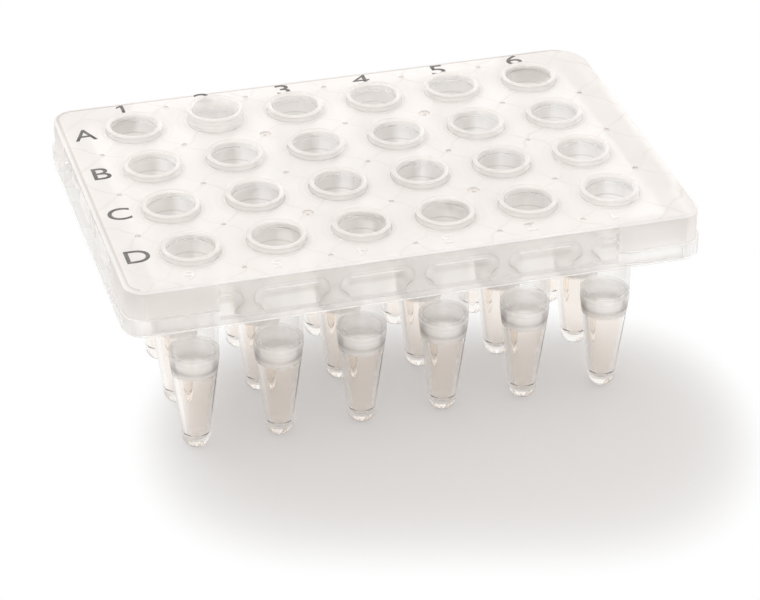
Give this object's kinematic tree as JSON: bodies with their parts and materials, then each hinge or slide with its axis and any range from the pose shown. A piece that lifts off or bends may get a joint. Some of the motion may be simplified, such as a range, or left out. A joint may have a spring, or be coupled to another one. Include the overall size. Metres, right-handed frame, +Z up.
{
  "type": "well plate",
  "caption": "Small clear well plate: tapered tubes on a grid under a thin deck with round collars, a keyed corner and a low two-tier skirt with scooped sides.",
  "frame": {"origin": "on the floor that the tube tips stand on, under the middle of the grid of wells", "axes": "+X along the length, towards the keyed corner; +Y across the width, towards the keyed corner; +Z up, out of the wells' mouths"},
  "size_m": [0.0616, 0.041, 0.0252],
  "materials": {
    "clear_plastic": "clear moulded plastic with a frosted deck",
    "print": "dark grey printed letters and numbers"
  },
  "bodies": {
    "root": {"plate": "clear_plastic"}
  },
  "joints": []
}
